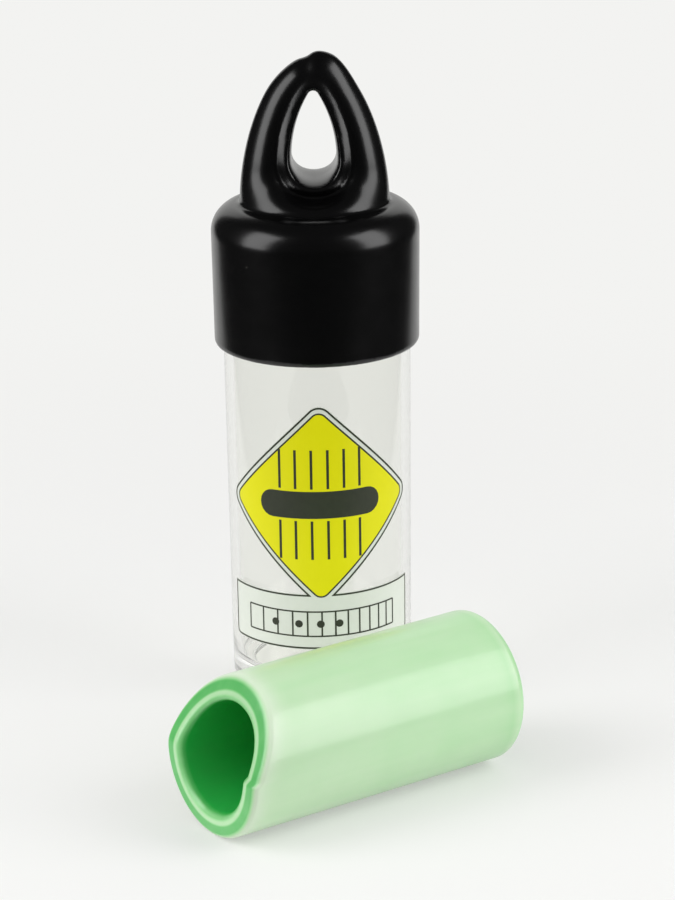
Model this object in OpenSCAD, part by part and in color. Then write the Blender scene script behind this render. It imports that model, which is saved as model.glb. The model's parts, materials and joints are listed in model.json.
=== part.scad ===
// Guitar slide with its storage case: a porcelain finger tube with a cut for the
// knuckle, lying in front of a clear capped vial that carries a wrapped label.
// Millimetres, +Z up. The origin is the centre of the case's underside.

/* [Slide] */
// Diameter of the bore that the finger goes into
slide_bore = 19; // [15:0.5:23]
// Wall of the porcelain tube
slide_wall = 4.5; // [3:0.1:6]
// Length of the tube
slide_length = 60; // [48:1:72]
// How far the knuckle cut reaches back along the top of the tube
knuckle_cut = 7.6; // [3:0.2:12]
// Radius of the outer edge at both ends
slide_edge_r = 0.8; // [0.3:0.1:1]
// Radius of the soft lip round both mouths of the bore
slide_lip_r = 1.6; // [0.8:0.1:1.9]

/* [Where the slide lies] */
// Clear floor between the case and the slide
slide_gap = 21.3; // [10:0.1:60]
// Turn of the slide's axis away from the X axis
slide_turn = 35; // [0:1:90]
// How far the slide's middle lies past its nearest point to the case
slide_shift = 31.6; // [0:0.1:60]

/* [Case] */
// Room round the slide when it stands in the vial, on the radius
case_play = 1.6; // [0.5:0.1:4]
// Free height in the vial above a slide that stands in it
case_spare = 25; // [8:1:40]
// Wall of the vial
case_wall = 1.8; // [1.2:0.1:2.2]
// Thickness of the vial's moulded floor
case_floor = 4; // [2:0.5:8]
// Growth of the vial's radius for each millimetre of height
case_draft = 0.007; // [0:0.001:0.012]
// Radius of the vial's outer foot edge
case_foot_r = 0.8; // [0.4:0.1:1.2]

/* [Cap] */
// Wall of the cap's skirt at its rim
cap_wall = 1.45; // [1:0.05:2.5]
// Length of the vial that the skirt covers
cap_grip = 21.7; // [12:0.1:30]
// Play between the skirt's bore and the vial's widest point, on the radius
cap_clearance = 0.05; // [0.01:0.01:0.1]
// Free height above the vial's lip, under the cap's round shoulder
cap_headroom = 3.2; // [2.6:0.1:6]
// Thickness of the cap's crown over that space
cap_crown = 2.2; // [1.6:0.1:4]
// Outer radius of the cap's shoulder
cap_shoulder_r = 4.4; // [2:0.1:5]
// Growth of the cap's outer radius for each millimetre above its rim
cap_draft = 0.01; // [0:0.001:0.02]
// Radius of the rounded rim of the skirt
cap_rim_r = 0.7; // [0.3:0.1:0.7]

/* [Hanging loop] */
// Width of the loop at its foot
loop_width = 28.4; // [22:0.2:32]
// Height of the loop above the cap's crown
loop_height = 28.9; // [22:0.1:40]
// Thickness of the loop, front to back, beside the eye
loop_depth = 10; // [7:0.1:14]
// Height of the flare that spreads the loop's foot into a round
loop_flare = 10; // [7:0.1:14]
// Width of the eye
eye_width = 8.4; // [5:0.1:12]
// Height of the eye
eye_height = 17; // [10:0.1:20]
// Height of the eye's lowest point above the cap's crown
eye_lift = 4.9; // [4:0.1:8]

/* [Label] */
// Half the diagonal of the square label, between its sharp corners
label_reach = 20.8; // [14:0.1:22]
// Corner radius of the square label
label_corner_r = 2.6; // [1:0.1:4]
// Height of the square label's middle above the floor
label_middle = 39.6; // [34:0.1:50]
// Length of the strip under the square, along the vial's surface
strip_length = 41.2; // [24:0.2:48]
// Height of the strip's lower edge above the floor
strip_low = 10.5; // [6:0.1:16]
// Height of the strip
strip_height = 11.3; // [6:0.1:14]
// Thickness of the label's film
label_film = 0.15; // [0.1:0.01:0.3]

/* [Hidden] */

$fn = 96;
skin = 0.01;                 // cutters reach this far past the face they cut
past = 5;                    // through cuts reach this far past the piece
arc_steps = 6;               // points on each rounded corner of the label
edge_steps = 8;              // points on each straight edge of the label
bell_steps = 24;             // points on the loop's curved outlines
strip_corner_r = 1.2;        // corners of the strip
flare_power = 2.5;           // how fast the loop's foot narrows
dome_power = 1.82;           // roundness of the loop's outline, 2 is an ellipse
eye_power = 1.5;             // roundness of the eye's upper outline
loop_top_share = 0.76;       // loop's thickness at its top, as a share of loop_depth

bore_r = slide_bore / 2;
slide_r = bore_r + slide_wall;
case_r = slide_r + case_play + case_wall;    // vial's outside at its foot
case_height = case_floor + slide_length + case_spare;
mouth_r = case_r + case_draft * case_height;
cap_bore_r = mouth_r + cap_clearance;
cap_r = cap_bore_r + cap_wall;
rim_z = case_height - cap_grip;
ceiling_z = case_height + cap_headroom;
crown_z = ceiling_z + cap_crown;
crown_r = cap_r + cap_draft * (crown_z - rim_z);
cap_flank_r = max(0.5, cap_shoulder_r - cap_crown);    // inner round under the shoulder
loop_r = loop_width / 2;
eye_r = eye_width / 2;
eye_z = crown_z + eye_lift + eye_r;
slide_distance = case_r + slide_gap + slide_r;

// The sliver between a square corner at the origin and its rounding
module spandrel(r) {
  difference() {
    translate([-skin, -skin]) square(r + skin);
    translate([r, r]) circle(r);
  }
}

// Radius of the vial's outside at height z
function vial_r(z) = case_r + case_draft * z;

// A length along the vial's surface, seen from the front
function wrapped(s, z) = vial_r(z) * sin(s / vial_r(z) * 180 / PI);

// Points on a straight edge, without its last one
function edge(a, b) = [for (i = [0 : edge_steps - 1]) a + (b - a) * i / edge_steps];

// Points on a rounded corner
function corner(centre, r, from, to) = [
  for (i = [0 : arc_steps])
    let (a = from + (to - from) * i / arc_steps) centre + r * [cos(a), sin(a)]
];

// Half the width of a rounded peak of half-width w and height h, at height t above its foot
function peak(w, h, t, power) = w * pow(max(0, 1 - pow(t / h, power)), 1 / power);

// Half the loop's thickness at height t above the crown
function half_depth(t) =
  let (
    u = max(0, 1 - t / loop_flare),
    slim = loop_depth / 2 * (1 - (1 - loop_top_share) * t / loop_height)
  )
  slim + (loop_r - slim) * pow(u, flare_power);

// Porcelain tube about its own axis, its knuckle end at -X
module slide_tube() {
  difference() {
    rotate([0, 90, 0]) rotate_extrude() difference() {
      translate([bore_r, -slide_length / 2]) square([slide_r - bore_r, slide_length]);
      for (end = [0, 1]) mirror([0, end]) translate([0, -slide_length / 2]) {
        translate([slide_r, 0]) mirror([1, 0]) spandrel(slide_edge_r);
        translate([bore_r, 0]) spandrel(slide_lip_r);
      }
    }
    // The upper half of the near end leans back, to free the knuckle
    translate([-slide_length / 2, slide_r + past, 0]) rotate([90, 0, 0])
      linear_extrude(2 * (slide_r + past))
        polygon([[0, 0], [2 * knuckle_cut, 2 * slide_r], [-past, 2 * slide_r], [-past, 0]]);
  }
}

module guitar_slide() {
  color([0.78, 0.92, 0.77])
    rotate([0, 0, slide_turn]) translate([-slide_shift, -slide_distance, slide_r]) slide_tube();
}

module case_vial() {
  color([0.93, 0.95, 0.94, 0.35]) rotate_extrude() difference() {
    polygon([[0, 0], [case_r, 0], [mouth_r, case_height], [0, case_height]]);
    polygon([
      [-past, case_floor], [vial_r(case_floor) - case_wall, case_floor],
      [mouth_r - case_wall, case_height + skin], [-past, case_height + skin]
    ]);
    translate([case_r, 0]) mirror([1, 0]) spandrel(case_foot_r);
  }
}

// Skirt, shoulder and crown, hollow for the vial's mouth
module cap_shell() {
  rotate_extrude() difference() {
    polygon([[0, rim_z], [cap_r, rim_z], [crown_r, crown_z], [0, crown_z]]);
    translate([crown_r, crown_z]) mirror([1, 0]) mirror([0, 1]) spandrel(cap_shoulder_r);
    translate([cap_r, rim_z]) mirror([1, 0]) spandrel(cap_rim_r);
    translate([-past, rim_z - past]) difference() {
      square([cap_bore_r + past, ceiling_z - rim_z + past]);
      translate([cap_bore_r + past, ceiling_z - rim_z + past])
        mirror([1, 0]) mirror([0, 1]) spandrel(cap_flank_r);
    }
  }
}

// Loop: a round peak, slimmed front and back, with an eye through it
module hanging_loop() {
  translate([0, 0, crown_z]) intersection() {
    rotate_extrude() polygon(concat(
      [[0, -cap_crown / 2], [loop_r, -cap_crown / 2]],
      [for (i = [0 : bell_steps])
        let (t = loop_height * sin(90 * i / bell_steps))
          [peak(loop_r, loop_height, t, dome_power), t]]
    ));
    rotate([90, 0, 90]) linear_extrude(2 * loop_r + past, center = true) polygon(concat(
      [[half_depth(0), -cap_crown]],
      [for (i = [0 : bell_steps])
        let (t = loop_height * i / bell_steps) [half_depth(t), t]],
      [for (i = [bell_steps : -1 : 0])
        let (t = loop_height * i / bell_steps) [-half_depth(t), t]],
      [[-half_depth(0), -cap_crown]]
    ));
  }
}

// Eye: a half circle below, narrowing to a soft point above
module eye_cut() {
  translate([0, loop_r + past, eye_z]) rotate([90, 0, 0])
    linear_extrude(2 * (loop_r + past)) polygon(concat(
      [for (i = [0 : bell_steps])
        let (t = (eye_height - eye_r) * sin(90 * i / bell_steps))
          [peak(eye_r, eye_height - eye_r, t, eye_power), t]],
      [for (i = [bell_steps - 1 : -1 : 0])
        let (t = (eye_height - eye_r) * sin(90 * i / bell_steps))
          [-peak(eye_r, eye_height - eye_r, t, eye_power), t]],
      [for (i = [1 : bell_steps - 1])
        let (a = 180 + 180 * i / bell_steps) eye_r * [cos(a), sin(a)]]
    ));
}

module case_cap() {
  color([0.05, 0.05, 0.055]) difference() {
    union() {
      cap_shell();
      hanging_loop();
    }
    eye_cut();
  }
}

// Outline of the label laid flat, its right half from the top to the bottom
function label_right() =
  let (
    strip_top = strip_low + strip_height,
    inset = label_corner_r * sqrt(2),
    half = strip_length / 2,
    root = label_reach - (label_middle - strip_top),
    top = corner([0, label_middle + label_reach - inset], label_corner_r, 90, 45),
    side = corner([label_reach - inset, label_middle], label_corner_r, 45, -45),
    foot = corner([half - strip_corner_r, strip_low + strip_corner_r], strip_corner_r, 0, -90)
  )
  concat(
    top, edge(top[arc_steps], side[0]), side, edge(side[arc_steps], [root, strip_top]),
    edge([root, strip_top], [half, strip_top]), edge([half, strip_top], foot[0]), foot,
    edge(foot[arc_steps], [0, strip_low])
  );

// A square standing on its corner over a strip, wrapped round the front of the vial
module case_label() {
  right = [for (p = label_right()) [wrapped(p[0], p[1]), p[1]]];
  last = len(right) - 1;
  low = strip_low - past;
  high = label_middle + label_reach + past;
  color([0.9, 0.88, 0.08]) intersection() {
    rotate_extrude() polygon([
      [vial_r(low), low], [vial_r(low) + label_film, low],
      [vial_r(high) + label_film, high], [vial_r(high), high]
    ]);
    rotate([90, 0, 0]) linear_extrude(mouth_r + past)
      polygon(concat(right, [for (i = [last : -1 : 1]) [-right[i][0], right[i][1]]]));
  }
}

guitar_slide();
case_vial();
case_cap();
case_label();
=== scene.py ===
# %% [markdown]
# # A porcelain guitar slide and its storage case
# The set has a glazed porcelain finger slide with a cut for the knuckle, lying on a table in front
# of the clear vial that it is kept in. A soft black cap with a hanging loop closes the vial, and a
# printed film is wrapped round the vial's front. Every length below is in metres.
# This first cell loads the CAD frame. Each piece is then made in the frame's own place.

# %% Load the frame
import bmesh
import bpy
import json
import math
import numpy as np
from mathutils import Matrix, Vector


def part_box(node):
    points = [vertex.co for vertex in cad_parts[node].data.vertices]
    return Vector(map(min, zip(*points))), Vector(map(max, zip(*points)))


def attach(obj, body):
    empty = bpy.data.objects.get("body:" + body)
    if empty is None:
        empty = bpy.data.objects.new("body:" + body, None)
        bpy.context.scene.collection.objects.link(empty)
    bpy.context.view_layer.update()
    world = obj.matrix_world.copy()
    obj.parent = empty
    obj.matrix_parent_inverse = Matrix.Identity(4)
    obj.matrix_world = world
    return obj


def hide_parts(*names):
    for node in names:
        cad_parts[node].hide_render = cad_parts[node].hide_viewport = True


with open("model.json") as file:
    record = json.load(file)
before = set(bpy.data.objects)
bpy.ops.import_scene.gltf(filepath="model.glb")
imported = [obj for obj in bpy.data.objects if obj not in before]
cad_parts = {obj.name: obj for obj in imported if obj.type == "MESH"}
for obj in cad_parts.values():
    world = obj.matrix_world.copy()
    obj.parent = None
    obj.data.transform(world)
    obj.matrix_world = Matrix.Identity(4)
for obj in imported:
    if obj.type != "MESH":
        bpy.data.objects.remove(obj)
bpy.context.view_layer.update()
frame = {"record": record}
MM = 0.001
mounts = {m["name"]: m for m in frame["record"]["mounts"]}
print("mounts:", sorted(mounts))

# %% [markdown]
# ## Sizes that all the pieces share
# The frame's boxes give the heights and radii, and the mounts give the bore and the way that it
# points. Only what the frame can't tell, such as a fillet or the depth of a cut, is a named value.

# %% Read the main sizes from the frame
slide_low, slide_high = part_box("guitar_slide")
vial_low, vial_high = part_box("case_vial")
cap_low, cap_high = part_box("case_cap")
label_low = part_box("case_label")[0]

SLIDE_R = (slide_high[2] - slide_low[2]) / 2
SLIDE_LENGTH = 60 * MM
BORE_R = mounts["finger_bore"]["dims"]["r_mm"] * MM
SLIDE_MIDDLE = (Vector(slide_low) + Vector(slide_high)) / 2
SLIDE_AXIS = -Vector(mounts["finger_bore"]["axis"])        # from the knuckle end to the far end

VIAL_MOUTH_R = (vial_high[0] - vial_low[0]) / 2
VIAL_HEIGHT = vial_high[2]
VIAL_DRAFT = 0.007
VIAL_FOOT_R = VIAL_MOUTH_R - VIAL_DRAFT * VIAL_HEIGHT
VIAL_WALL = 1.8 * MM
VIAL_FLOOR = 4 * MM
print("slide radius", round(SLIDE_R / MM, 2), "vial foot radius", round(VIAL_FOOT_R / MM, 2))

# %% [markdown]
# ## Small helpers
# Colours are picked as the 0 to 255 values that a colour picker shows, and Blender wants linear
# light, so one helper converts them. Another wires shader or geometry nodes: it makes a node, sets
# its properties, and feeds each input with a number or with another node's output.

# %% Helpers for colours and nodes
def picked(red, green, blue):
    """A linear colour from the values that a colour picker shows."""
    parts = [v / 255 for v in (red, green, blue)]
    return tuple(p / 12.92 if p <= 0.04045 else ((p + 0.055) / 1.055) ** 2.4 for p in parts) + (1.0,)


def add(tree, kind, inputs=None, **settings):
    """A new node, with its properties set and its inputs fed."""
    made = tree.nodes.new(kind)
    for name, value in settings.items():
        setattr(made, name, value)
    for name, value in (inputs or {}).items():
        if isinstance(value, bpy.types.NodeSocket):
            tree.links.new(value, made.inputs[name])
        else:
            made.inputs[name].default_value = value
    return made


def sum_up(tree, operation, first, second=0.0):
    """The result of one Math node."""
    return add(tree, "ShaderNodeMath", {0: first, 1: second}, operation=operation).outputs[0]


def vary(tree, low, high, amount):
    """A number that goes from low to high as amount goes from 0 to 1."""
    made = add(tree, "ShaderNodeMapRange", {"Value": amount, "To Min": low, "To Max": high})
    return made.outputs["Result"]


def blend_colour(tree, amount, first, second):
    """Two colours mixed, each a colour or another node's output."""
    made = tree.nodes.new("ShaderNodeMix")
    made.data_type = "RGBA"
    for index, value in ((0, amount), (6, first), (7, second)):
        if isinstance(value, bpy.types.NodeSocket):
            tree.links.new(value, made.inputs[index])
        else:
            made.inputs[index].default_value = value
    return made.outputs[2]


def new_material(name):
    """An empty node material, its tree and its main shader."""
    material = bpy.data.materials.new(name)
    material.use_nodes = True
    return material, material.node_tree, material.node_tree.nodes["Principled BSDF"]


print("white is", picked(255, 255, 255))

# %% [markdown]
# A noise is read in the piece's own space. Its size is given as the length of one blotch, which is
# easier to judge than a scale.

# %% Helpers for surface patterns
SPECKLESS_CELLS = 0.8      # the share of the cells that hold no speck


def noise(tree, blotch, detail=3.0, stretch=(1, 1, 1), turn=0.0):
    """Noise in the piece's space, with blotches of that length."""
    place = add(tree, "ShaderNodeTexCoord").outputs["Object"]
    centred = add(tree, "ShaderNodeMapping", {"Vector": place, "Rotation": (0, 0, turn)})
    spread = add(tree, "ShaderNodeMapping", {"Vector": centred.outputs[0], "Scale": stretch})
    made = add(tree, "ShaderNodeTexNoise",
               {"Vector": spread.outputs[0], "Scale": 1 / blotch, "Detail": detail})
    return made.outputs["Fac"]


def specks(tree, spacing, size):
    """Sparse round specks: 1 on a speck and 0 elsewhere."""
    place = add(tree, "ShaderNodeTexCoord").outputs["Object"]
    cells = add(tree, "ShaderNodeTexVoronoi", {"Vector": place, "Scale": 1 / spacing})
    near = sum_up(tree, "LESS_THAN", cells.outputs["Distance"], size / spacing)
    chosen = add(tree, "ShaderNodeSeparateColor", {"Color": cells.outputs["Color"]}).outputs[0]
    return sum_up(tree, "MULTIPLY", near, sum_up(tree, "GREATER_THAN", chosen, SPECKLESS_CELLS))


def bump(tree, shader, height, depth, strength=1.0, socket="Normal"):
    """Relief of that depth on a shader, from a height between 0 and 1."""
    made = add(tree, "ShaderNodeBump", {"Height": height, "Distance": depth, "Strength": strength})
    tree.links.new(made.outputs[0], shader.inputs[socket])


print("one speck to every", round(1 / (1 - SPECKLESS_CELLS)), "cells")

# %% [markdown]
# Each piece ends in the same way: its mesh goes in the scene at the origin, rides on its body, takes
# its material slot, and stands for its CAD nodes. The volume tells whether the faces point outwards.

# %% Helpers that finish a piece
def show(name, mesh, material, body, slot, *nodes):
    """Puts a finished mesh in the scene, on its body, in place of its CAD nodes."""
    piece = bpy.data.objects.new(name, mesh)
    bpy.context.scene.collection.objects.link(piece)
    if material is not None:
        mesh.materials.clear()
        mesh.materials.append(material)
    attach(piece, body)
    if nodes:
        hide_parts(*nodes)
    low = [round(min(v.co[i] for v in mesh.vertices) / MM, 2) for i in range(3)]
    high = [round(max(v.co[i] for v in mesh.vertices) / MM, 2) for i in range(3)]
    print(name, "faces", len(mesh.polygons), "from", low, "to", high, "mm")


def smooth(mesh):
    """Smooth shading on the whole mesh."""
    mesh.polygons.foreach_set("use_smooth", [True] * len(mesh.polygons))
    mesh.update()


def volume(mesh):
    """Signed volume: positive on a closed mesh whose faces point outwards."""
    loose = bmesh.new()
    loose.from_mesh(mesh)
    result = loose.calc_volume(signed=True)
    loose.free()
    return result


# %% [markdown]
# ## A lathe in Geometry Nodes
# The vial and the slide are both round, so one node tree turns them, as a potter's wheel or a
# lathe would. It takes a section: a string of points with the radius along X and the height along
# Z. A grid with one row for each of those points is bent round the axis, and each row looks up its
# point by its number. A Screw modifier could do this too, but here the section's own values, such
# as how thick the glaze lies, can be looked up in the same way and carried to the surface.
#
# The knuckle cut is a rule as well, so it is in the same tree: points above the axis move along it
# in proportion to their height. A soft ramp rounds the corner where the cut begins.

# %% Build the lathe tree
def lathe_tree():
    """The node tree that turns a section, and slants its end for the knuckle."""
    tree = bpy.data.node_groups.new("lathe", "GeometryNodeTree")
    face = tree.interface
    face.new_socket(name="Geometry", in_out="OUTPUT", socket_type="NodeSocketGeometry")
    face.new_socket(name="Section", in_out="INPUT", socket_type="NodeSocketGeometry")
    face.new_socket(name="Steps Around", in_out="INPUT", socket_type="NodeSocketInt")
    face.new_socket(name="Cut Slope", in_out="INPUT", socket_type="NodeSocketFloat")
    face.new_socket(name="Cut Softness", in_out="INPUT", socket_type="NodeSocketFloat")
    face.new_socket(name="Notch Depth", in_out="INPUT", socket_type="NodeSocketFloat")
    face.new_socket(name="Notch Start", in_out="INPUT", socket_type="NodeSocketFloat")
    face.new_socket(name="Notch End", in_out="INPUT", socket_type="NodeSocketFloat")
    face.new_socket(name="Material", in_out="INPUT", socket_type="NodeSocketMaterial")
    given = add(tree, "NodeGroupInput").outputs
    result = add(tree, "NodeGroupOutput")

    size = add(tree, "GeometryNodeAttributeDomainSize", {"Geometry": given["Section"]})
    rows = size.outputs["Point Count"]
    around = sum_up(tree, "ADD", given["Steps Around"], 1.0)
    grid = add(tree, "GeometryNodeMeshGrid",
               {"Size X": 1.0, "Size Y": 1.0, "Vertices X": around, "Vertices Y": rows})
    at = add(tree, "ShaderNodeSeparateXYZ", {0: add(tree, "GeometryNodeInputPosition").outputs[0]})
    turn = sum_up(tree, "MULTIPLY", sum_up(tree, "ADD", at.outputs["X"], 0.5), 2 * math.pi)
    last = sum_up(tree, "SUBTRACT", rows, 1.0)
    up_the_grid = sum_up(tree, "ADD", at.outputs["Y"], 0.5)
    row = sum_up(tree, "ROUND", sum_up(tree, "MULTIPLY", up_the_grid, last))

    def look_up(value, kind):
        """A value of the section's point that belongs to this row."""
        return add(tree, "GeometryNodeSampleIndex",
                   {"Geometry": given["Section"], "Value": value, "Index": row},
                   data_type=kind, domain="POINT").outputs[0]

    def named(name):
        """A value that the section's points carry."""
        return add(tree, "GeometryNodeInputNamedAttribute", {"Name": name},
                   data_type="FLOAT").outputs["Attribute"]

    point = look_up(add(tree, "GeometryNodeInputPosition").outputs[0], "FLOAT_VECTOR")
    part = add(tree, "ShaderNodeSeparateXYZ", {0: point})
    radius = part.outputs["X"]
    side = sum_up(tree, "MULTIPLY", radius, sum_up(tree, "COSINE", turn))
    top = sum_up(tree, "MULTIPLY", radius, sum_up(tree, "SINE", turn))
    squared = sum_up(tree, "ADD", sum_up(tree, "MULTIPLY", top, top),
                     sum_up(tree, "MULTIPLY", given["Cut Softness"], given["Cut Softness"]))
    ramp = sum_up(tree, "MULTIPLY", sum_up(tree, "ADD", top, sum_up(tree, "SQRT", squared)), 0.5)
    share = look_up(named("cut_share"), "FLOAT")
    slant = sum_up(tree, "MULTIPLY", ramp, given["Cut Slope"])
    above = add(tree, "ShaderNodeMapRange",
                {"Value": top, "From Min": given["Notch Start"], "From Max": given["Notch End"]},
                interpolation_type="SMOOTHSTEP").outputs[0]
    right = add(tree, "ShaderNodeMapRange",
                {"Value": side, "From Min": 0.0, "From Max": radius},
                interpolation_type="SMOOTHSTEP").outputs[0]
    notch = sum_up(tree, "MULTIPLY", sum_up(tree, "MULTIPLY", above, right), given["Notch Depth"])
    shift = sum_up(tree, "MULTIPLY", sum_up(tree, "ADD", slant, notch), share)
    height = sum_up(tree, "ADD", part.outputs["Z"], shift)
    place = add(tree, "ShaderNodeCombineXYZ", {"X": side, "Y": top, "Z": height})

    thickness = look_up(named("glaze"), "FLOAT")
    glaze = add(tree, "GeometryNodeStoreNamedAttribute",
                {"Geometry": grid.outputs["Mesh"], "Name": "glaze", "Value": thickness},
                data_type="FLOAT", domain="POINT")
    bent = add(tree, "GeometryNodeSetPosition", {"Geometry": glaze.outputs[0], "Position": place.outputs[0]})
    closed = add(tree, "GeometryNodeMergeByDistance", {"Geometry": bent.outputs[0], "Distance": 1e-6})
    real = add(tree, "GeometryNodeRealizeInstances", {"Geometry": closed.outputs[0]})
    painted = add(tree, "GeometryNodeSetMaterial",
                  {"Geometry": real.outputs[0], "Material": given["Material"]})
    tree.links.new(painted.outputs[0], result.inputs[0])
    return tree


LATHE = lathe_tree()
print("lathe tree has", len(LATHE.nodes), "nodes")

# %% [markdown]
# A tree's inputs are set on the modifier by each socket's identifier. Once it is evaluated, the
# result is copied into a plain mesh, and the modifier goes.

# %% Run a tree on a mesh
def run_tree(mesh, tree, **inputs):
    """The mesh that a geometry tree makes of this one. Underscores in an input's name are spaces."""
    carrier = bpy.data.objects.new("carrier", mesh)
    bpy.context.scene.collection.objects.link(carrier)
    modifier = carrier.modifiers.new(tree.name, "NODES")
    modifier.node_group = tree
    for item in tree.interface.items_tree:
        name = item.name.replace(" ", "_")
        if item.in_out == "INPUT" and name in inputs:
            modifier[item.identifier] = inputs[name]
    bpy.context.view_layer.update()
    graph = bpy.context.evaluated_depsgraph_get()
    made = bpy.data.meshes.new_from_object(carrier.evaluated_get(graph), depsgraph=graph)
    carrier.modifiers.clear()
    bpy.data.objects.remove(carrier)
    return made


def section_mesh(points, cut_share=None, glaze=None):
    """A string of points for the lathe, with what each of them carries."""
    mesh = bpy.data.meshes.new("section")
    mesh.from_pydata([(r, 0, z) for r, z in points], [(i, i + 1) for i in range(len(points) - 1)], [])
    for name, values in (("cut_share", cut_share), ("glaze", glaze)):
        stored = mesh.attributes.new(name, "FLOAT", "POINT")
        stored.data.foreach_set("value", values or [0.0] * len(points))
    return mesh


def arc(middle, radius, start, end, steps):
    """Points on an arc, in degrees."""
    angles = [math.radians(start + (end - start) * i / steps) for i in range(steps + 1)]
    return [(middle[0] + radius * math.cos(a), middle[1] + radius * math.sin(a)) for a in angles]


def stretch_of(first, last, steps):
    """Points between two others, without the ends."""
    return [tuple(a + (b - a) * i / steps for a, b in zip(first, last)) for i in range(1, steps)]


print("a quarter arc:", [tuple(round(v, 3) for v in p) for p in arc((0, 0), 1, 0, 90, 2)])

# %% [markdown]
# ## The porcelain glaze
# Porcelain is dipped in glaze and fired. The melted glaze runs thin over an edge, where the white
# body shows through, and gathers in hollows and inside the bore, where it is a deep green. So the
# colour follows one number, carried on the mesh: how thick the glaze lies. A ramp turns it into
# the real colours. The glaze itself is a clear, slightly wavy coat over a body that lets a little
# light in, and it holds a few pinholes and faint streaks from the dipping.

# %% Make the glaze
AXIS_TURN = -math.atan2(SLIDE_AXIS.y, SLIDE_AXIS.x)


def glaze_material():
    """Porcelain under a glaze whose colour follows its thickness."""
    material, tree, shader = new_material("celadon_glaze")
    thickness = add(tree, "ShaderNodeAttribute", attribute_name="glaze").outputs["Fac"]
    clouds = noise(tree, 9 * MM, 2.0)
    streaks = noise(tree, 2.4 * MM, 2.0, stretch=(0.06, 1, 1), turn=AXIS_TURN)
    drift = sum_up(tree, "ADD", vary(tree, -0.04, 0.04, clouds), vary(tree, -0.04, 0.04, streaks))
    depth = sum_up(tree, "ADD", thickness, drift)
    ramp = add(tree, "ShaderNodeValToRGB", {"Fac": depth})
    stops = [(0.0, (222, 234, 214)), (0.28, (194, 225, 185)), (0.5, (150, 212, 146)),
             (0.74, (76, 178, 88)), (1.0, (14, 184, 72))]
    colours = ramp.color_ramp.elements
    while len(colours) < len(stops):
        colours.new(0.5)
    for stop, (place, colour) in zip(colours, stops):
        stop.position = place
        stop.color = picked(*colour)
    pits = specks(tree, 8 * MM, 0.12 * MM)
    colour = blend_colour(tree, sum_up(tree, "MULTIPLY", pits, 0.4), ramp.outputs["Color"],
                          picked(140, 165, 125))
    tree.links.new(colour, shader.inputs["Base Color"])
    tree.links.new(vary(tree, 0.29, 0.36, clouds), shader.inputs["Roughness"])
    shader.inputs["Coat Weight"].default_value = 0.25
    shader.inputs["Coat Roughness"].default_value = 0.08
    shader.inputs["Subsurface Weight"].default_value = 0.12
    shader.inputs["Subsurface Radius"].default_value = (0.6, 1.0, 0.5)
    shader.inputs["Subsurface Scale"].default_value = 1.2 * MM
    waves = noise(tree, 6 * MM, 2.0)
    bump(tree, shader, waves, 0.02 * MM, 0.7)
    bump(tree, shader, waves, 0.02 * MM, 0.7, "Coat Normal")
    return material


GLAZE = glaze_material()
print("glaze made:", GLAZE.name)

# %% [markdown]
# ## The slide
# A slide like this is cast or rolled as a tube. One end is trimmed square below and at a slant
# above, so that the knuckle can bend, and both mouths are eased with a soft lip. Its section is
# the wall alone: outer edge, end face, lip, bore, and the same again at the far end. The glaze's
# thickness goes with each point of it.

# %% Draw the slide's section
SLIDE_EDGE = 1.2 * MM
SLIDE_FAR_EDGE = 1.7 * MM
SLIDE_LIP = 1.6 * MM
KNUCKLE_CUT = 7.6 * MM
CUT_SOFTNESS = 1.1 * MM
NOTCH_DEPTH = 0.8 * MM
NOTCH_START = -0.5 * MM
NOTCH_END = 0.4 * MM
STEPS_ROUND_SLIDE = 240
NEAR_PALE_REACH = 2.8 * MM  # how far along the wall the thin glaze at the near end reaches
FAR_DEEP_REACH = 3.2 * MM   # the same for the thick glaze at the far end


def slide_section():
    """The wall's section, the share of the knuckle cut on each point, and its glaze."""
    half = SLIDE_LENGTH / 2
    lip_r = BORE_R + SLIDE_LIP
    runs = [
        (arc((SLIDE_R - SLIDE_EDGE, -half + SLIDE_EDGE), SLIDE_EDGE, 0, -90, 8), "edge"),
        (stretch_of((SLIDE_R - SLIDE_EDGE, -half), (lip_r, -half), 8), "face"),
        (arc((lip_r, -half + SLIDE_LIP), SLIDE_LIP, -90, -180, 10), "lip"),
        (stretch_of((BORE_R, -half + SLIDE_LIP), (BORE_R, half - SLIDE_LIP), 36), "bore"),
        (arc((lip_r, half - SLIDE_LIP), SLIDE_LIP, 180, 90, 10), "far_lip"),
        (stretch_of((lip_r, half), (SLIDE_R - SLIDE_FAR_EDGE, half), 6), "far_face"),
        (arc((SLIDE_R - SLIDE_FAR_EDGE, half - SLIDE_FAR_EDGE), SLIDE_FAR_EDGE, 90, 0, 10), "far_edge"),
        (stretch_of((SLIDE_R, half - SLIDE_FAR_EDGE), (SLIDE_R, -half + SLIDE_EDGE), 40), "wall"),
    ]
    points, shares, glaze = [], [], []
    for run, kind in runs:
        for i, (r, z) in enumerate(run):
            t = i / max(1, len(run) - 1)
            points.append((r, z))
            shares.append(min(1.0, max(0.0, (half - SLIDE_LIP - z) / (2 * half - 2 * SLIDE_LIP))))
            glaze.append(glaze_on(kind, t, z, half))
    for values in (points, shares, glaze):
        values.append(values[0])
    return points, shares, glaze


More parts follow.
